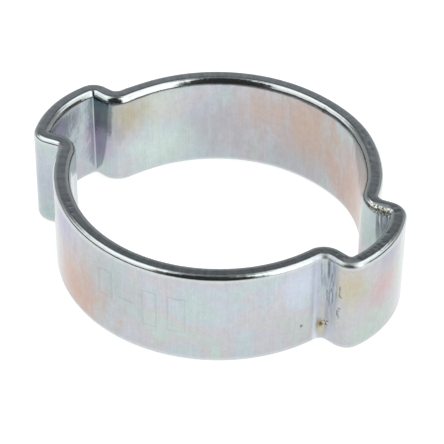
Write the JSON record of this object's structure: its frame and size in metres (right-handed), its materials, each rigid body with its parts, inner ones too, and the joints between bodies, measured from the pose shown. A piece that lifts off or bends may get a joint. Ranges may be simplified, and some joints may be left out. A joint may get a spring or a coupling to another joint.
{
  "type": "two-ear hose clamp",
  "caption": "Endless steel band with a raised ear on each side, slipped over a hose and closed by pinching the ears.",
  "frame": {"origin": "centre of the bore, in the plane of the lower rim", "axes": "+X through one ear, +Y through a plain arc, +Z along the hose"},
  "size_m": [0.0246, 0.0202, 0.0067],
  "materials": {
    "zinc_plate": "bright zinc plate over pressed steel"
  },
  "bodies": {
    "root": {"clamp_band": "zinc_plate"}
  },
  "joints": []
}
